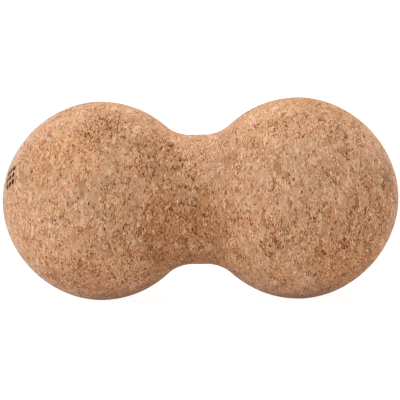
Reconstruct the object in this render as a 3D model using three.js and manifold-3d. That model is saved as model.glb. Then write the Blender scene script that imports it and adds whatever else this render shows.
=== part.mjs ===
// Double massage ball ("peanut"), turned in one piece from agglomerated cork.
// Millimetres, +Z up. The long axis lies along X, the two balls rest on Z = 0,
// and the origin is under the middle of the waist. The burnt mark is on the -X ball.
import * as THREE from 'three';
import * as BufferGeometryUtils from 'three/addons/utils/BufferGeometryUtils.js';
import Module from 'manifold-3d';

// ---- driving dimensions ----------------------------------------------------
const LENGTH = 160;          // overall, pole to pole
const BALL_R = 40;           // each ball, 80 mm across
const BALL_OFFSET = 40.2;    // ball centre from the middle of the waist
const END_POWER = 1.915;     // 2 is a true sphere; a little less gives the slightly pointed turned ends
const WAIST_R = 25.95;       // waist, 51.9 mm across
const WAIST_HALF = 2.85;     // half the straight stretch of the waist
const AROUND = 64;           // facets round the long axis, one of them facing straight down
const END_STEP = 5.4;        // degrees per profile step on the balls
const FILLET_STEPS = 4;      // profile steps in each concave fillet

// Burnt mark: a plain square grid of dots, recessed by the branding iron.
const MARK_FROM_POLE = 34.8; // degrees, from the -X pole to the middle of the mark
const MARK_ABOVE_SIDE = 34;  // degrees, turned up round the long axis from the -Y side
const DOTS = 3;              // dots along each side of the grid
const DOT_R = 1;
const DOT_PITCH = 3;
const MARK_DEPTH = 0.5;

const wasm = await Module();
wasm.setup();

// ---- profile: [distance along the long axis, radius] from the waist to the +X pole
const halfLength = LENGTH / 2;
const endA = halfLength - BALL_OFFSET;
// fillet radius that is tangent to the straight waist and to the ball
const filletR = ((BALL_OFFSET - WAIST_HALF) ** 2 + WAIST_R ** 2 - BALL_R ** 2) / (2 * (BALL_R - WAIST_R));
const tangentX = BALL_OFFSET - ((BALL_OFFSET - WAIST_HALF) * BALL_R) / (BALL_R + filletR);
const tangentR = ((WAIST_R + filletR) * BALL_R) / (BALL_R + filletR);
const rad = THREE.MathUtils.degToRad;

function halfProfile(inset) {
  const out = [];
  const put = (x, r, nx, nr) => out.push([x - inset * nx, r - inset * nr]);
  put(0, WAIST_R, 0, 1);
  // concave fillet, centred at (WAIST_HALF, WAIST_R + filletR)
  const cy = WAIST_R + filletR;
  const a1 = Math.atan2(tangentR - cy, tangentX - WAIST_HALF);
  for (let i = 0; i <= FILLET_STEPS; i++) {
    const a = -Math.PI / 2 + ((a1 + Math.PI / 2) * i) / FILLET_STEPS;
    put(WAIST_HALF + filletR * Math.cos(a), cy + filletR * Math.sin(a), -Math.cos(a), -Math.sin(a));
  }
  // inner part of the ball, a true sphere, up to half a step short of its widest point
  const start = Math.atan2(tangentR, tangentX - BALL_OFFSET);
  const end = Math.PI / 2 + rad(END_STEP / 2);
  const steps = Math.round((start - end) / rad(END_STEP));
  for (let i = 1; i <= steps; i++) {
    const a = start + ((end - start) * i) / steps;
    const r = i === steps ? BALL_R : BALL_R * Math.sin(a);
    put(BALL_OFFSET + BALL_R * Math.cos(a), r, Math.cos(a), Math.sin(a));
  }
  // outer part, slightly pointed, from half a step past the widest point to the pole
  const outer = Math.round((90 - END_STEP / 2) / END_STEP);
  for (let i = 0; i <= outer; i++) {
    const a = rad(90 - END_STEP / 2) * (1 - i / outer);
    const x = endA * Math.cos(a) ** (2 / END_POWER);
    const r = i === 0 ? BALL_R : i === outer ? 0 : BALL_R * Math.sin(a) ** (2 / END_POWER);
    put(BALL_OFFSET + x, r, Math.cos(a), i === outer ? 0 : Math.sin(a));
  }
  return out;
}

// the whole turned body, its facets standing BALL_R - inset from the long axis
function turned(inset) {
  const half = halfProfile(inset);
  const points = [...half.slice(1).reverse().map(([x, r]) => new THREE.Vector2(r, -x)), ...half.slice(1).map(([x, r]) => new THREE.Vector2(r, x))];
  const widen = 1 / Math.cos(Math.PI / AROUND);
  for (const p of points) p.x = Math.max(0, p.x) * widen;
  const g = new THREE.LatheGeometry(points, AROUND, Math.PI / AROUND, Math.PI * 2);
  g.rotateZ(-Math.PI / 2);
  g.translate(0, 0, BALL_R);
  return toManifold(g);
}

function toManifold(geometry) {
  const bare = geometry.clone();
  bare.deleteAttribute('normal');
  bare.deleteAttribute('uv');
  const g = BufferGeometryUtils.mergeVertices(bare, 1e-4);
  const p = g.attributes.position;
  const idx = g.index.array;
  const tris = [];
  let volume = 0;
  const a = new THREE.Vector3(), b = new THREE.Vector3(), c = new THREE.Vector3();
  for (let i = 0; i < idx.length; i += 3) {
    const [i0, i1, i2] = [idx[i], idx[i + 1], idx[i + 2]];
    if (i0 === i1 || i1 === i2 || i0 === i2) continue;
    tris.push(i0, i1, i2);
    a.fromBufferAttribute(p, i0); b.fromBufferAttribute(p, i1); c.fromBufferAttribute(p, i2);
    volume += a.dot(b.cross(c)) / 6;
  }
  if (volume < 0) for (let i = 0; i < tris.length; i += 3) [tris[i + 1], tris[i + 2]] = [tris[i + 2], tris[i + 1]];
  return new wasm.Manifold(new wasm.Mesh({ numProp: 3, vertProperties: new Float32Array(p.array), triVerts: new Uint32Array(tris) }));
}

function toGeometry(solid) {
  const m = solid.getMesh();
  const positions = new Float32Array((m.vertProperties.length / m.numProp) * 3);
  for (let i = 0; i < positions.length / 3; i++) for (let k = 0; k < 3; k++) positions[i * 3 + k] = m.vertProperties[i * m.numProp + k];
  const g = new THREE.BufferGeometry();
  g.setAttribute('position', new THREE.BufferAttribute(positions, 3));
  g.setIndex(new THREE.BufferAttribute(new Uint32Array(m.triVerts), 1));
  g.computeVertexNormals();
  return g;
}

// ---- burnt mark ------------------------------------------------------------
// each dot is cut down to a copy of the body inset by MARK_DEPTH
const pole = rad(MARK_FROM_POLE);
const up = rad(MARK_ABOVE_SIDE);
const normal = new THREE.Vector3(-Math.cos(pole), -Math.sin(pole) * Math.cos(up), Math.sin(pole) * Math.sin(up));
const along = new THREE.Vector3(-1, 0, 0).addScaledVector(normal, normal.x).normalize();
const across = new THREE.Vector3().crossVectors(normal, along);
const ballCentre = new THREE.Vector3(-BALL_OFFSET, 0, BALL_R);

// a short post through the skin, pointing away from the ball's centre
function post(u, v) {
  const way = normal.clone().multiplyScalar(BALL_R).addScaledVector(along, u).addScaledVector(across, v).normalize();
  const g = new THREE.CylinderGeometry(DOT_R, DOT_R, 8, 16);
  g.translate(0, BALL_R, 0);
  g.applyQuaternion(new THREE.Quaternion().setFromUnitVectors(new THREE.Vector3(0, 1, 0), way));
  g.translate(ballCentre.x, ballCentre.y, ballCentre.z);
  return toManifold(g);
}

let body = turned(0);
const floor = turned(MARK_DEPTH);
const middle = (DOTS - 1) / 2;
for (let i = 0; i < DOTS; i++) {
  for (let j = 0; j < DOTS; j++) {
    body = body.subtract(post((i - middle) * DOT_PITCH, (j - middle) * DOT_PITCH).subtract(floor));
  }
}

const cork = new THREE.Mesh(
  toGeometry(body),
  new THREE.MeshStandardMaterial({ color: new THREE.Color().setRGB(0.74, 0.556, 0.42, THREE.SRGBColorSpace), roughness: 0.9, metalness: 0 }),
);
cork.name = 'cork_body';

const group = new THREE.Group();
group.add(cork);
export default group;
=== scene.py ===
# Looks for the double massage ball: one turned piece of agglomerated cork with a burnt mark.
import bmesh
import bpy
import math
import numpy as np
from mathutils import Matrix, Vector, kdtree


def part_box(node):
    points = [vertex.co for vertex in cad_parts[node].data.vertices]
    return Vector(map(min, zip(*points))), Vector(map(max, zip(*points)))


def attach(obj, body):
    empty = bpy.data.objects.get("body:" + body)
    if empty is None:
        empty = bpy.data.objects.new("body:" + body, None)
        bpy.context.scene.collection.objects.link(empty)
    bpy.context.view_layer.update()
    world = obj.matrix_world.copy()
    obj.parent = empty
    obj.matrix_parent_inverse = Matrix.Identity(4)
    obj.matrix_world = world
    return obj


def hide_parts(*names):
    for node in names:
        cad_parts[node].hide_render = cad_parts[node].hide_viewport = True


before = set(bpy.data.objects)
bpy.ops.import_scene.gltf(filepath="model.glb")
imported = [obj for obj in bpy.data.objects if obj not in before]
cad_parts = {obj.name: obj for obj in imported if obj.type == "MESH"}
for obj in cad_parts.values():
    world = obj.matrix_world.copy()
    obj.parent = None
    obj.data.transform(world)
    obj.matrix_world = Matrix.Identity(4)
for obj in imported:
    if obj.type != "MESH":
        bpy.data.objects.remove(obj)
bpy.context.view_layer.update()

MM = 0.001
NODE = "cork_body"
lo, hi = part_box(NODE)

# ---- the turned shape, in millimetres, as the frame has it ------------------
HALF = (hi[0] - lo[0]) / 2 / MM
BALL_R = (hi[2] - lo[2]) / 2 / MM
AXIS_Z = (hi[2] + lo[2]) / 2 / MM
BALL_OFFSET = HALF - 39.8
END_POWER = 1.915
WAIST_R = 25.95
WAIST_HALF = 2.85
END_A = HALF - BALL_OFFSET
FILLET_R = ((BALL_OFFSET - WAIST_HALF) ** 2 + WAIST_R ** 2 - BALL_R ** 2) / (2 * (BALL_R - WAIST_R))
TAN_X = BALL_OFFSET - (BALL_OFFSET - WAIST_HALF) * BALL_R / (BALL_R + FILLET_R)
TAN_R = (WAIST_R + FILLET_R) * BALL_R / (BALL_R + FILLET_R)

# burnt mark: a plain square grid of dots on the -X ball
MARK_FROM_POLE = math.radians(34.8)
MARK_ABOVE_SIDE = math.radians(34.0)
DOTS, DOT_R, DOT_PITCH, MARK_DEPTH = 3, 1.0, 3.0, 0.7

STEP = 0.69        # mesh edge, mm
SEAM = math.radians(-45)   # the UV seam runs along the lower back

rng = np.random.default_rng(20240)


# ---- seeded noise in numpy ---------------------------------------------------
def _hash(ix, iy, iz, seed):
    h = (ix.astype(np.uint64) * np.uint64(73856093)) ^ (iy.astype(np.uint64) * np.uint64(19349663)) ^ (iz.astype(np.uint64) * np.uint64(83492791)) ^ np.uint64(seed * 2654435761 % (1 << 32))
    h = (h ^ (h >> np.uint64(13))) * np.uint64(0x9E3779B97F4A7C15)
    h ^= h >> np.uint64(29)
    h *= np.uint64(0xBF58476D1CE4E5B9)
    h ^= h >> np.uint64(32)
    return (h & np.uint64(0xFFFFFF)).astype(np.float64) / float(0xFFFFFF)


def value_noise(p, period, seed):
    """Smooth noise from -1 to 1 at points p (n, 3) in mm; period may differ by axis."""
    q = p / np.asarray(period, float) + 4096.0
    i = np.floor(q).astype(np.int64)
    f = q - i
    f = f * f * f * (f * (f * 6 - 15) + 10)
    out = np.zeros(len(p))
    for dx in (0, 1):
        for dy in (0, 1):
            for dz in (0, 1):
                w = np.where(dx, f[:, 0], 1 - f[:, 0]) * np.where(dy, f[:, 1], 1 - f[:, 1]) * np.where(dz, f[:, 2], 1 - f[:, 2])
                out += w * _hash(i[:, 0] + dx, i[:, 1] + dy, i[:, 2] + dz, seed)
    return out * 2 - 1


def smooth(a, b, x):
    t = np.clip((x - a) / (b - a), 0, 1)
    return t * t * (3 - 2 * t)


# ---- the body mesh -------------------------------------------------------------
def profile():
    """Dense (distance along the axis, radius) from the -X pole to the +X pole."""
    out = [np.column_stack([np.linspace(0, WAIST_HALF, 40), np.full(40, WAIST_R)])]
    cy = WAIST_R + FILLET_R
    a = np.linspace(-math.pi / 2, math.atan2(TAN_R - cy, TAN_X - WAIST_HALF), 400)[1:]
    out.append(np.column_stack([WAIST_HALF + FILLET_R * np.cos(a), cy + FILLET_R * np.sin(a)]))
    a = np.linspace(math.atan2(TAN_R, TAN_X - BALL_OFFSET), math.pi / 2, 1500)[1:]
    out.append(np.column_stack([BALL_OFFSET + BALL_R * np.cos(a), BALL_R * np.sin(a)]))
    a = np.linspace(math.pi / 2, 0, 3000)[1:]
    c, s = np.clip(np.cos(a), 0, 1), np.clip(np.sin(a), 0, 1)
    out.append(np.column_stack([BALL_OFFSET + END_A * c ** (2 / END_POWER), BALL_R * s ** (2 / END_POWER)]))
    h = np.vstack(out)
    h[-1, 1] = 0.0
    return np.vstack([h[::-1] * [-1, 1], h[1:]])


def smooth_skin():
    """The smooth body in even triangles, with its own clean unwrap: rings from pole to pole, each ring with as many
    vertices as its girth needs, so nothing pinches at the poles."""
    full = profile()
    s = np.concatenate([[0], np.cumsum(np.hypot(*np.diff(full, axis=0).T))])
    n = int(round(s[-1] / (STEP * 0.866)))
    at = np.linspace(0, s[-1], n + 1)
    xs, rs = np.interp(at, s, full[:, 0]), np.interp(at, s, full[:, 1])
    verts, counts, starts = [], [], []
    for i in range(n + 1):
        c = 1 if i in (0, n) else max(6, int(round(2 * math.pi * rs[i] / STEP)))
        starts.append(sum(counts))
        counts.append(c)
        t = SEAM + 2 * math.pi * np.arange(c) / c
        r = 0.0 if c == 1 else rs[i]
        verts.append(np.column_stack([np.full(c, xs[i]), r * np.cos(t), AXIS_Z + r * np.sin(t)]))
    verts = np.vstack(verts)
    tris, uvs = [], []
    vv = at / s[-1]
    for i in range(n):
        ca, cb, sa, sb = counts[i], counts[i + 1], starts[i], starts[i + 1]
        a = b = 0
        while (a < ca and ca > 1) or (b < cb and cb > 1):
            ua, ub = (a + 1) / ca if ca > 1 else 2.0, (b + 1) / cb if cb > 1 else 2.0
            if ub <= ua:   # step along the upper ring
                tris.append((sa + a % ca, sb + (b + 1) % cb, sb + b % cb))
                u_low = a / ca if ca > 1 else (b + 0.5) / cb
                uvs += [(u_low, vv[i]), ((b + 1) / cb, vv[i + 1]), (b / cb, vv[i + 1])]
                b += 1
            else:
                tris.append((sa + a % ca, sa + (a + 1) % ca, sb + b % cb))
                u_top = b / cb if cb > 1 else (a + 0.5) / ca
                uvs += [(a / ca, vv[i]), ((a + 1) / ca, vv[i]), (u_top, vv[i + 1])]
                a += 1
    return verts, np.array(tris), np.array(uvs)


verts, tris, uvs = smooth_skin()
mesh = bpy.data.meshes.new("cork_skin")
mesh.from_pydata(verts.tolist(), [], tris.tolist())
layer = mesh.uv_layers.new(name="OFBake")
layer.data.foreach_set("uv", uvs.astype(np.float32).ravel())

# finer mesh where the mark is burnt in
nx = -math.cos(MARK_FROM_POLE)
ny = -math.sin(MARK_FROM_POLE) * math.cos(MARK_ABOVE_SIDE)
nz = math.sin(MARK_FROM_POLE) * math.sin(MARK_ABOVE_SIDE)
M_N = np.array([nx, ny, nz])
M_U = np.array([-1.0, 0, 0]) + M_N * nx
M_U /= np.linalg.norm(M_U)
M_V = np.cross(M_N, M_U)
M_C = np.array([-BALL_OFFSET, 0, AXIS_Z])


def mark_distance(p):
    """Signed distance, in mm, from the outline of the nearest burnt dot; negative inside."""
    best = np.full(len(p), 99.0)
    q = p - M_C
    for i in range(DOTS):
        for j in range(DOTS):
            w = M_N * BALL_R + M_U * (i - (DOTS - 1) / 2) * DOT_PITCH + M_V * (j - (DOTS - 1) / 2) * DOT_PITCH
            w /= np.linalg.norm(w)
            h = q @ w
            d = np.linalg.norm(q - h[:, None] * w, axis=1) - DOT_R
            best = np.where(h > 0, np.minimum(best, d), best)
    return best


bm = bmesh.new()
bm.from_mesh(mesh)
for reach in (1.1, 0.55):
    bm.verts.ensure_lookup_table()
    co = np.array([v.co for v in bm.verts])
    near = mark_distance(co) < reach
    edges = [e for e in bm.edges if near[e.verts[0].index] and near[e.verts[1].index]]
    bmesh.ops.subdivide_edges(bm, edges=edges, cuts=1, use_grid_fill=True)
    bmesh.ops.triangulate(bm, faces=[f for f in bm.faces if len(f.verts) > 3])
bmesh.ops.recalc_face_normals(bm, faces=bm.faces)
bm.to_mesh(mesh)
bm.free()

n = len(mesh.vertices)
P = np.empty(n * 3)
mesh.vertices.foreach_get("co", P)
P = P.reshape(-1, 3)
# smooth outward normals
T = np.empty(len(mesh.polygons) * 3, int)
mesh.polygons.foreach_get("vertices", T)
T = T.reshape(-1, 3)
fn = np.cross(P[T[:, 1]] - P[T[:, 0]], P[T[:, 2]] - P[T[:, 0]])
if (fn * (P[T].mean(1) - [0, 0, AXIS_Z])).sum() < 0:
    fn = -fn
VN = np.zeros_like(P)
for k in range(3):
    np.add.at(VN, T[:, k], fn)
VN /= np.linalg.norm(VN, axis=1)[:, None]

# ---- relief, all of it sunk below the turned surface -----------------------------
# pressed granules, thin along the long axis: each sits a little higher or lower, with a shallow dip between
cell = np.array([1.9, 3.3, 3.3])
warp = np.column_stack([value_noise(P, 2.6, 11 + k) for k in range(3)]) * [0.5, 0.8, 0.8] + np.column_stack([value_noise(P, 1.3, 21 + k) for k in range(3)]) * [0.2, 0.35, 0.35]
Q = (P + warp) / cell
grid = np.stack(np.meshgrid(*[np.arange(math.floor(Q[:, k].min()) - 1, math.ceil(Q[:, k].max()) + 2) for k in range(3)], indexing="ij"), -1).reshape(-1, 3)
seeds = grid + rng.random(grid.shape)
# only seeds near the skin matter
ax = seeds * cell
rr = np.hypot(ax[:, 1], ax[:, 2] - AXIS_Z)
full = profile()
near_skin = np.abs(rr - np.interp(ax[:, 0], full[:, 0], full[:, 1])) < 9
near_skin |= np.abs(ax[:, 0]) > HALF - 14
seeds = seeds[near_skin]
height = rng.random(len(seeds))
kd = kdtree.KDTree(len(seeds))
for i, s_ in enumerate(seeds):
    kd.insert(s_, i)
kd.balance()
own = np.empty(n, int)
edge = np.empty(n)
for i in range(n):
    (_, a, da), (_, b, db) = kd.find_n(Q[i], 2)
    own[i] = a
    edge[i] = db - da
granule = height[own] * 2 - 1
relief = 0.05 * granule * smooth(0.0, 0.25, edge) - 0.07 * (1 - smooth(0.0, 0.22, edge))
relief += 0.035 * value_noise(P, (1.1, 1.7, 1.7), 31) + 0.03 * value_noise(P, 5.0, 32) + 0.03 * value_noise(P, 14.0, 33)
# sanding takes the high places down to the turned surface, and leaves the dips
relief = -0.012 * np.log1p(np.exp(-(relief - np.percentile(relief, 55)) / 0.012))

# lenticel pits
PITS = 220
tri_area = np.linalg.norm(fn, axis=1)
pick = rng.choice(len(T), size=PITS, p=tri_area / tri_area.sum())
w3 = rng.dirichlet((1, 1, 1), PITS)
pits = (P[T[pick]] * w3[:, :, None]).sum(1)
pit_r = 0.28 + 0.3 * rng.random(PITS) ** 3
pit_long = 1.2 + 2.2 * rng.random(PITS)
turn = rng.random(PITS) * math.pi
pk = kdtree.KDTree(n)
for i in range(n):
    pk.insert(P[i], i)
pk.balance()
pit = np.zeros(n)
for i in range(PITS):
    r_ = pit_r[i] * pit_long[i]
    hit = [h[1] for h in pk.find_range(pits[i], r_ * 1.3)]
    if not hit:
        continue
    d = P[hit] - pits[i]
    nn = VN[hit[0]]
    t1 = np.cross(nn, [1.0, 0, 0])
    t1 /= np.linalg.norm(t1) + 1e-9
    t2 = np.cross(nn, t1)
    c_, s_ = math.cos((turn[i] - 1.57) * 0.7), math.sin((turn[i] - 1.57) * 0.7)
    a_ = (d @ t1) * c_ + (d @ t2) * s_
    b_ = -(d @ t1) * s_ + (d @ t2) * c_
    q = np.hypot(a_ / pit_long[i], b_) / pit_r[i]
    pit[hit] = np.maximum(pit[hit], np.clip(1 - q * q, 0, 1))
relief -= 0.42 * pit

md = mark_distance(P)
burn = 1 - smooth(-0.14, 0.10, md)
relief = relief * (1 - 0.75 * burn) - MARK_DEPTH * burn - 0.05 * (1 - smooth(0.0, 0.6, md))
relief -= relief.max() + 0.002          # wholly inside the turned surface
P2 = P + VN * relief[:, None]
mesh.vertices.foreach_set("co", (P2 * MM).astype(np.float32).ravel())
mesh.update()
mesh.shade_smooth()
for name, value in (("burn", burn), ("pit", pit), ("scorch", 1 - smooth(0.0, 1.1, md))):
    at = mesh.attributes.new(name, "FLOAT", "POINT")
    at.data.foreach_set("value", value.astype(np.float32))

body = bpy.data.objects.new("cork_body_skin", mesh)
bpy.context.scene.collection.objects.link(body)
print("skin triangles", len(mesh.polygons), "relief", round(float(relief.min()), 3), round(float(relief.mean()), 3))


# ---- material -------------------------------------------------------------------
def lin(*c):
    return tuple(x / 12.92 if x <= 0.04045 else ((x + 0.055) / 1.055) ** 2.4 for x in (v / 255 for v in c)) + (1.0,)


class Nodes:
    """Short calls that each add one node and return its output socket."""

    def __init__(self, material):
        self.t = material.node_tree
        self.t.nodes.clear()

    def node(self, kind, **props):
        n_ = self.t.nodes.new(kind)
        for k, v in props.items():
            setattr(n_, k, v)
        return n_

    def put(self, socket, value):
        if isinstance(value, bpy.types.NodeSocket):
            self.t.links.new(value, socket)
        else:
            socket.default_value = value

    def math(self, op, a, b=0.0, c=0.0, clamp=False):
        n_ = self.node("ShaderNodeMath", operation=op, use_clamp=clamp)
        for s_, v in zip(n_.inputs, (a, b, c)):
            self.put(s_, v)
        return n_.outputs[0]

    def vec(self, op, a, b=(0, 0, 0), scale=None):
        n_ = self.node("ShaderNodeVectorMath", operation=op)
        self.put(n_.inputs[0], a)
        if scale is None:
            self.put(n_.inputs[1], b)
        else:
            self.put(n_.inputs["Scale"], scale)
        return n_.outputs[0]

    def noise(self, v, scale, detail=2.0, rough=0.5, dist=0.0, colour=False):
        n_ = self.node("ShaderNodeTexNoise")
        self.put(n_.inputs["Vector"], v)
        self.put(n_.inputs["Scale"], scale)
        self.put(n_.inputs["Detail"], detail)
        self.put(n_.inputs["Roughness"], rough)
        self.put(n_.inputs["Distortion"], dist)
        return n_.outputs["Color" if colour else "Fac"]

    def voronoi(self, v, scale=1.0, feature="F1", out="Color", rand=1.0, smoothness=None):
        n_ = self.node("ShaderNodeTexVoronoi", feature=feature)
        self.put(n_.inputs["Vector"], v)
        self.put(n_.inputs["Scale"], scale)
        self.put(n_.inputs["Randomness"], rand)
        if smoothness is not None:
            self.put(n_.inputs["Smoothness"], smoothness)
        return n_.outputs[out]

    def split(self, c):
        n_ = self.node("ShaderNodeSeparateColor")
        self.put(n_.inputs[0], c)
        return n_.outputs

    def ramp(self, fac, stops, interp="LINEAR"):
        n_ = self.node("ShaderNodeValToRGB")
        self.put(n_.inputs[0], fac)
        r_ = n_.color_ramp
        r_.interpolation = interp
        while len(r_.elements) < len(stops):
            r_.elements.new(0.5)
        for e, (pos, col) in zip(r_.elements, stops):
            e.position = pos
            e.color = col
        return n_.outputs[0]

    def step(self, x, a, b):
        n_ = self.node("ShaderNodeMapRange", interpolation_type="SMOOTHSTEP")
        self.put(n_.inputs["Value"], x)
        self.put(n_.inputs["From Min"], a)
        self.put(n_.inputs["From Max"], b)
        return n_.outputs[0]

    def mix(self, fac, a, b, blend="MIX"):
        n_ = self.node("ShaderNodeMix", data_type="RGBA", blend_type=blend)
        n_.clamp_result = False
        self.put(n_.inputs[0], fac)
        self.put(n_.inputs[6], a)
        self.put(n_.inputs[7], b)
        return n_.outputs[2]

    def attr(self, name):
        return self.node("ShaderNodeAttribute", attribute_name=name).outputs["Fac"]


mat = bpy.data.materials.new("agglomerated_cork")
mat.use_nodes = True
N = Nodes(mat)
obj = N.node("ShaderNodeTexCoord").outputs["Object"]
V = N.vec("SCALE", obj, scale=1000.0)                       # millimetres

HALF3 = (0.5, 0.5, 0.5)


def centred(c):
    return N.vec("SUBTRACT", c, HALF3)


# ragged granule outlines
w1 = N.vec("MULTIPLY", centred(N.noise(V, 0.30, 2.0, 0.5, colour=True)), (2.4, 4.0, 4.0))
w2 = N.vec("MULTIPLY", centred(N.noise(V, 1.5, 2.0, 0.6, colour=True)), (0.8, 1.2, 1.2))
w3 = N.vec("MULTIPLY", centred(N.noise(V, 5.0, 1.0, 0.5, colour=True)), (0.22, 0.3, 0.3))
W = N.vec("ADD", V, N.vec("ADD", w1, N.vec("ADD", w2, w3)))


def chips(thick, wide):
    """Packed chips, thick along the long axis and wide across it: their random colour and their outline distance."""
    q = N.vec("MULTIPLY", W, (1 / thick, 1 / wide, 1 / wide))
    return N.voronoi(q), N.voronoi(q, feature="DISTANCE_TO_EDGE", out="Distance")


big_c, big_e = chips(2.2, 4.9)
mid_c, mid_e = chips(1.2, 2.9)
small_c, small_e = chips(0.58, 1.35)

# every place belongs to a big chip, or to a middling one, or to the fine filling
is_big = N.math("LESS_THAN", N.split(big_c)[0], 0.42)
is_mid = N.math("LESS_THAN", N.split(mid_c)[0], 0.62)
chip = N.mix(is_big, N.mix(is_mid, small_c, mid_c), big_c)
rim = N.math("ADD", N.math("MULTIPLY", is_big, N.math("MULTIPLY", big_e, 2.2)),
             N.math("MULTIPLY", N.math("SUBTRACT", 1.0, is_big),
                    N.math("ADD", N.math("MULTIPLY", is_mid, N.math("MULTIPLY", mid_e, 1.2)),
                           N.math("MULTIPLY", N.math("SUBTRACT", 1.0, is_mid), N.math("MULTIPLY", small_e, 0.58)))))
dice = N.node("ShaderNodeTexWhiteNoise", noise_dimensions="3D")
N.put(dice.inputs["Vector"], N.vec("SCALE", chip, scale=97.0))
dice_c = dice.outputs["Color"]
d0, d1, d2 = N.split(dice_c)[:3]
dice2 = N.node("ShaderNodeTexWhiteNoise", noise_dimensions="3D")
N.put(dice2.inputs["Vector"], N.vec("SCALE", chip, scale=53.0))
e_ = N.split(dice2.outputs["Color"])

# growth lines: each chip has its own direction, mostly across the long axis
way = N.vec("NORMALIZE", N.vec("ADD", centred(dice_c), (0.75, 0.0, 0.0)))
dot = N.node("ShaderNodeVectorMath", operation="DOT_PRODUCT")
N.put(dot.inputs[0], N.vec("ADD", V, N.vec("SCALE", w2, scale=0.35)))
N.put(dot.inputs[1], way)
line = N.node("ShaderNodeTexNoise", noise_dimensions="1D")
N.put(line.inputs["W"], N.math("ADD", dot.outputs["Value"], N.math("MULTIPLY", d2, 40.0)))
line.inputs["Scale"].default_value = 1.25
line.inputs["Detail"].default_value = 2.0
line.inputs["Roughness"].default_value = 0.7
lines = line.outputs["Fac"]

grain = N.noise(N.vec("MULTIPLY", N.vec("ADD", V, N.vec("SCALE", w2, scale=0.4)), (4.0, 1.0, 1.0)), 1.0, 1.0, 0.6)
g_ = N.math("SUBTRACT", grain, 0.5)     # mostly faint, with a few strong marks
marks = N.math("MULTIPLY", g_, N.math("ADD", N.math("MULTIPLY", N.math("MULTIPLY", g_, g_), 44.0), 0.44))
mottle = N.noise(N.vec("MULTIPLY", V, (0.9, 0.5, 0.5)), 1.0, 2.0, 0.6)
patch = N.noise(V, 0.06, 2.0, 0.5)

# broad areas of the block, in mm: place, reach, how much darker, warmer, and fuller of woody specks. The darker and
# warmer listed areas at the front of the waist, low on the front of the left ball, and at the lower right and the right
# end of the right ball are painted shade. The two listed areas with negative values, on the fronts of the balls, are
# painted light. The rest of the listed areas, and the far-side areas, are the cork's own tone and speck crowding.
TONE_AND_SHADE_AREAS = [
    ((-1, -24, 27), 28, 0.125, 0.10, 0.35), ((-35, -30, 12), 24, 0.01, 0.09, 0.25), ((-10, -20, 60), 14, 0.03, 0.02, 0.8),
    ((-35, -20, 75), 14, 0.00, 0.02, 0.8), ((-45, -33, 62), 16, 0.02, 0.27, 0.0), ((65, -20, 22), 28, 0.11, 0.07, 0.15), ((80, -8, 42), 17, 0.06, 0.0, 0.0),
    ((40, -40, 32), 12, 0.01, 0.03, 0.7), ((-50, -36, 45), 24, -0.05, -0.02, -0.25), ((38, -36, 54), 22, -0.05, -0.02, -0.25)]
for _ in range(8):      # and as many on the far side
    a_, x_ = math.radians(rng.uniform(-10, 190)), rng.uniform(-70, 70)
    TONE_AND_SHADE_AREAS.append(((x_, 34 * math.cos(a_ - math.pi / 2) , AXIS_Z + 34 * math.sin(a_ - math.pi / 2)), rng.uniform(10, 28),
                  rng.uniform(-0.06, 0.10), rng.uniform(-0.05, 0.12), rng.uniform(-0.3, 0.8)))
bent = N.vec("ADD", V, N.vec("SCALE", centred(N.noise(V, 0.09, 2.0, 0.6, colour=True)), scale=22.0))
area_shade_and_tone = area_warmth_and_shade_tint = area_specks = None
for place, reach, shade_and_tone_, warmth_and_shade_tint_, specks_ in TONE_AND_SHADE_AREAS:
    far = N.node("ShaderNodeVectorMath", operation="DISTANCE")
    N.put(far.inputs[0], bent)
    N.put(far.inputs[1], place)
    here = N.math("SUBTRACT", 1.0, N.step(far.outputs["Value"], reach * 0.35, reach * 1.15))
    area_shade_and_tone = N.math("ADD", N.math("MULTIPLY", here, shade_and_tone_), 0.0 if area_shade_and_tone is None else area_shade_and_tone)
    area_warmth_and_shade_tint = N.math("ADD", N.math("MULTIPLY", here, warmth_and_shade_tint_), 0.0 if area_warmth_and_shade_tint is None else area_warmth_and_shade_tint)
    area_specks = N.math("ADD", N.math("MULTIPLY", here, specks_), 0.0 if area_specks is None else area_specks)

# tone: 0 dark, 1 pale, centred on a half
def total(parts):
    out_ = None
    for part, weight in parts:
        part = N.math("MULTIPLY", N.math("SUBTRACT", part, 0.5), weight)
        out_ = part if out_ is None else N.math("ADD", out_, part)
    return out_


busy = N.math("ADD", N.math("MULTIPLY", e_[0], 1.1), 0.35)     # some chips are plain, others lined and grainy
calm = N.math("ADD", N.math("MULTIPLY", N.step(N.noise(V, 0.13, 3.0, 0.65), 0.37, 0.63), 1.15), 0.40)
busy = N.math("MULTIPLY", busy, calm)
inside = N.math("MULTIPLY", N.math("ADD", total(((N.split(small_c)[1], 0.05), (lines, 0.33))), marks), busy)
# most chips are alike, and a few are much paler or darker
odd = N.math("MULTIPLY", N.math("POWER", N.math("MULTIPLY", N.math("SUBTRACT", d0, 0.5), 2.0), 3.0), 0.16)
tone = N.math("ADD", N.math("ADD", total(((d0, 0.09), (mottle, 0.05), (patch, 0.19))), odd), inside)
# the areas darken the tone: painted shade at the front of the waist and the lower right of the balls, painted light
# where the value is negative, and the cork's own tone elsewhere
tone = N.math("SUBTRACT", tone, area_shade_and_tone)
fleck = N.math("MULTIPLY", N.math("GREATER_THAN", N.split(small_c)[2], 0.96), N.step(small_e, 0.04, 0.12))
tone = N.math("ADD", N.math("ADD", tone, N.math("MULTIPLY", fleck, 0.34)), 0.518)
colour = N.ramp(tone, [
    (0.06, lin(100, 44, 8)), (0.30, lin(160, 106, 63)), (0.50, lin(194, 145, 107)),
    (0.70, lin(212, 168, 136)), (0.95, lin(226, 190, 163))])

# tint by chip: orange, pink, olive; and broad warm and cool patches
tint = N.vec("ADD", (0.992, 1.0, 0.982), N.vec("MULTIPLY", centred(dice2.outputs["Color"]), (0.05, 0.0, 0.05)))
tint = N.vec("ADD", tint, N.vec("MULTIPLY", centred(big_c), (0.05, 0.0, 0.06)))
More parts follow.
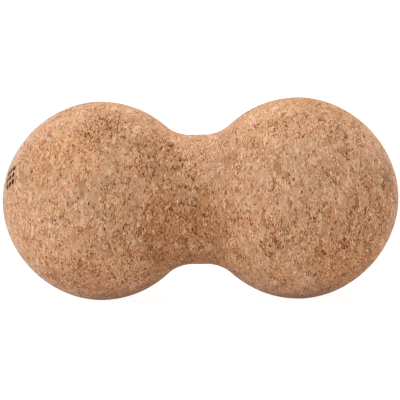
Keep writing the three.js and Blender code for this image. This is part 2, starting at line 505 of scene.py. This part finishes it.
# the areas' warmth is partly painted shade, warmer where the front lies in shade, and partly the cork's own warm
# patches
warmth = N.math("ADD", N.math("SUBTRACT", N.noise(V, 0.13, 3.0, 0.6), 0.5), area_warmth_and_shade_tint)
tint = N.vec("ADD", tint, N.vec("SCALE", (0.19, 0.0, -0.27), scale=warmth))
pink = N.math("SUBTRACT", N.noise(V, 0.30, 2.0, 0.6), 0.5)
tint = N.vec("ADD", tint, N.vec("SCALE", (0.18, 0.0, 0.17), scale=pink))
colour = N.vec("MULTIPLY", colour, tint)

# brown skin left on parts of some chips' outlines
seam_on = N.step(N.noise(V, 0.75, 2.0, 0.6), 0.50, 0.66)
seam_w = N.math("ADD", N.math("MULTIPLY", seam_on, 0.16), 0.02)
seam = N.math("SUBTRACT", 1.0, N.step(rim, N.math("MULTIPLY", seam_w, 0.4), seam_w))
seam = N.math("MULTIPLY", seam, N.math("ADD", N.math("MULTIPLY", seam_on, 0.5), 0.06))
colour = N.mix(seam, colour, lin(126, 72, 34))

# dark woody specks, crowded in some places
sq = N.vec("MULTIPLY", N.vec("ADD", V, N.vec("ADD", N.vec("SCALE", w2, scale=0.8), w3)), (2.5, 0.72, 0.72))
speck_c, speck_e = N.voronoi(sq), N.voronoi(sq, feature="DISTANCE_TO_EDGE", out="Distance")
sc_ = N.split(speck_c)
crowd = N.math("ADD", N.step(N.noise(V, 0.20, 2.0, 0.6), 0.50, 0.62), area_specks)
chosen = N.math("LESS_THAN", sc_[0], N.math("ADD", N.math("MULTIPLY", crowd, 0.22), 0.035))
inset = N.math("ADD", N.math("MULTIPLY", sc_[1], 0.17), 0.05)
speck = N.math("MULTIPLY", chosen, N.step(speck_e, inset, N.math("ADD", inset, 0.03)))
speck = N.math("MULTIPLY", speck, N.math("ADD", N.math("MULTIPLY", sc_[2], 0.40), 0.74), clamp=True)
bq = N.vec("MULTIPLY", N.vec("ADD", V, N.vec("SCALE", w2, scale=1.4)), (1.3, 0.55, 0.55))
bit_c, bit_e = N.split(N.voronoi(bq)), N.voronoi(bq, feature="DISTANCE_TO_EDGE", out="Distance")
bit = N.math("MULTIPLY", N.math("LESS_THAN", bit_c[0], N.math("ADD", N.math("MULTIPLY", crowd, 0.05), 0.012)),
             N.step(bit_e, N.math("ADD", N.math("MULTIPLY", bit_c[1], 0.15), 0.10), N.math("ADD", N.math("MULTIPLY", bit_c[1], 0.15), 0.16)))
speck = N.math("MAXIMUM", speck, N.math("MULTIPLY", bit, 0.85))
ticks = N.noise(N.vec("MULTIPLY", N.vec("ADD", V, w3), (2.8, 0.95, 0.95)), 1.0, 0.0, 0.5)
ticks = N.math("MULTIPLY", N.step(ticks, 0.61, 0.69), N.math("MULTIPLY", crowd, 0.5, clamp=True))
speck = N.math("MAXIMUM", speck, ticks)
# the pits are darkened in colour: partly the dark lenticel filling, partly painted shade in the sunk hollow
pit_colour_and_shade = N.step(N.attr("pit"), 0.25, 0.6)
dark = N.math("MAXIMUM", speck, N.math("MULTIPLY", pit_colour_and_shade, 0.85), clamp=True)
colour = N.mix(dark, colour, lin(84, 34, 2))

# burnt mark
burn_a, scorch = N.attr("burn"), N.attr("scorch")
colour = N.mix(N.math("MULTIPLY", scorch, 0.35), colour, lin(128, 78, 48))
colour = N.mix(N.math("MULTIPLY", N.step(burn_a, 0.15, 0.75), N.math("ADD", N.math("MULTIPLY", grain, 0.15), 0.90), clamp=True), colour, lin(34, 20, 15))

rough = N.math("ADD", N.math("MULTIPLY", grain, 0.22), 0.76)
bumpf = N.math("ADD", N.math("MULTIPLY", d0, 0.35), N.math("ADD", N.math("MULTIPLY", lines, 0.5), grain))
bumpf = N.math("SUBTRACT", bumpf, N.math("MULTIPLY", seam, 0.8))
bumpf = N.math("SUBTRACT", bumpf, N.math("MULTIPLY", speck, 0.8))
bump = N.node("ShaderNodeBump")
bump.inputs["Strength"].default_value = 0.35
bump.inputs["Distance"].default_value = 0.0004
N.put(bump.inputs["Height"], bumpf)

bsdf = N.node("ShaderNodeBsdfPrincipled")
N.put(bsdf.inputs["Base Color"], colour)
N.put(bsdf.inputs["Roughness"], rough)
bsdf.inputs["Specular IOR Level"].default_value = 0.06
bsdf.inputs["Sheen Weight"].default_value = 0.25
bsdf.inputs["Sheen Roughness"].default_value = 0.38
bsdf.inputs["Sheen Tint"].default_value = (1.0, 0.96, 0.91, 1.0)
N.put(bsdf.inputs["Normal"], bump.outputs[0])
out = N.node("ShaderNodeOutputMaterial")
N.put(out.inputs["Surface"], bsdf.outputs[0])
body.data.materials.append(mat)

# the burnt dots: charred cork, brown-black and dull, on the faces inside their outlines
burnt = bpy.data.materials.new("burnt_cork")
burnt.use_nodes = True
B = Nodes(burnt)
BV = B.vec("SCALE", B.node("ShaderNodeTexCoord").outputs["Object"], scale=1000.0)
ash = B.noise(BV, 3.0, 3.0, 0.7)
soot = B.noise(BV, 1.1, 2.0, 0.6)
edge_ = B.step(B.attr("burn"), 0.05, 0.8)
burn_col = B.ramp(B.math("ADD", B.math("MULTIPLY", ash, 0.6), B.math("MULTIPLY", soot, 0.4)), [
    (0.30, lin(34, 12, 0)), (0.50, lin(52, 22, 4)), (0.70, lin(80, 40, 14))])
burn_col = B.mix(edge_, lin(112, 66, 36), burn_col)
bb = B.node("ShaderNodeBump")
bb.inputs["Strength"].default_value = 0.5
bb.inputs["Distance"].default_value = 0.0003
B.put(bb.inputs["Height"], ash)
bp = B.node("ShaderNodeBsdfPrincipled")
B.put(bp.inputs["Base Color"], burn_col)
B.put(bp.inputs["Roughness"], B.math("ADD", B.math("MULTIPLY", ash, 0.15), 0.82))
bp.inputs["Specular IOR Level"].default_value = 0.05
B.put(bp.inputs["Normal"], bb.outputs[0])
bo = B.node("ShaderNodeOutputMaterial")
B.put(bo.inputs["Surface"], bp.outputs[0])
body.data.materials.append(burnt)
face_burn = burn[T].mean(1) > 0.10
mesh.polygons.foreach_set("material_index", face_burn.astype(np.int32))
mesh.update()

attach(body, "root")
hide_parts(NODE)

# ---- stage -------------------------------------------------------------------------
fm = bpy.data.materials.new("pale_floor")
fm.use_nodes = True
F = Nodes(fm)
fb = F.node("ShaderNodeBsdfPrincipled")
fb.inputs["Base Color"].default_value = (0.9, 0.9, 0.9, 1)
fb.inputs["Roughness"].default_value = 0.9
fb.inputs["Emission Color"].default_value = (1, 1, 1, 1)
fb.inputs["Emission Strength"].default_value = 0.185
glow = F.node("ShaderNodeEmission")
glow.inputs["Strength"].default_value = 1.22
seen = F.node("ShaderNodeMixShader")
F.put(seen.inputs[0], F.math("MULTIPLY", F.node("ShaderNodeLightPath").outputs["Is Camera Ray"], 0.75))
F.put(seen.inputs[1], fb.outputs[0])
F.put(seen.inputs[2], glow.outputs[0])
fo = F.node("ShaderNodeOutputMaterial")
F.put(fo.inputs["Surface"], seen.outputs[0])
bpy.ops.mesh.primitive_plane_add(size=12.0, location=(0, 0, lo[2]))
floor = bpy.context.object
floor.name = "floor"
floor.data.materials.append(fm)

world = bpy.data.worlds.new("studio")
bpy.context.scene.world = world
world.use_nodes = True
wt = world.node_tree
dim = wt.nodes["Background"]
dim.inputs[0].default_value = (1, 0.97, 0.92, 1)
dim.inputs[1].default_value = 0.15
white = wt.nodes.new("ShaderNodeBackground")
white.inputs[0].default_value = (1, 1, 1, 1)
white.inputs[1].default_value = 1.0
which = wt.nodes.new("ShaderNodeMixShader")
wt.links.new(wt.nodes.new("ShaderNodeLightPath").outputs["Is Camera Ray"], which.inputs[0])
wt.links.new(dim.outputs[0], which.inputs[1])
wt.links.new(white.outputs[0], which.inputs[2])
wt.links.new(which.outputs[0], wt.nodes["World Output"].inputs[0])


YAW = math.radians(10.6546)     # the camera stands this far round towards +X


def softbox(name, azimuth, elevation, size_, watts, distance=1.6):
    """A round soft light. azimuth 0 stands behind the camera, -90 to its left."""
    d = bpy.data.lights.new(name, "AREA")
    d.shape = "DISK"
    d.size = size_
    d.energy = watts
    o = bpy.data.objects.new(name, d)
    a_, e_ = YAW + math.radians(azimuth), math.radians(elevation)
    way_ = Vector((math.sin(a_) * math.cos(e_), -math.cos(a_) * math.cos(e_), math.sin(e_)))
    o.location = Vector((0, 0, AXIS_Z * MM)) + way_ * distance
    o.rotation_mode = "QUATERNION"
    o.rotation_quaternion = (-way_).to_track_quat("-Z", "Y")
    bpy.context.scene.collection.objects.link(o)


softbox("left", -90, 15, 1.0, 10.1)
softbox("left_front", -45, 50, 1.1, 6.4)
softbox("behind", 180, 56, 1.2, 20.5)
softbox("right_high", 90, 70, 1.0, 8.3)
softbox("front_high", 20, 60, 0.8, 7.6)

# ---- camera -------------------------------------------------------------------------
cam_data = bpy.data.cameras.new("camera")
cam = bpy.data.objects.new("camera", cam_data)
bpy.context.scene.collection.objects.link(cam)
PITCH, ROLL, DIST = math.radians(8.0), math.radians(-2.3447), 1.0
centre = Vector((0, 0, (lo[2] + hi[2]) / 2))
back = Vector((math.sin(YAW) * math.cos(PITCH), -math.cos(YAW) * math.cos(PITCH), math.sin(PITCH)))
cam.location = centre + back * DIST
cam.rotation_mode = "QUATERNION"
cam.rotation_quaternion = ((-back).to_track_quat("-Z", "Y").to_matrix() @ Matrix.Rotation(ROLL, 3, "Z")).to_quaternion()
cam_data.sensor_width = 36.0
cam_data.lens = 2.4980 * 1000 * DIST * 36.0 / 400
cam_data.shift_x = 1.06 / 400
cam_data.shift_y = -0.62 / 400
cam_data.clip_start, cam_data.clip_end = 0.01, 50
bpy.context.scene.camera = cam
bpy.context.scene.view_settings.view_transform = "Standard"
bpy.context.scene.view_settings.look = "None"
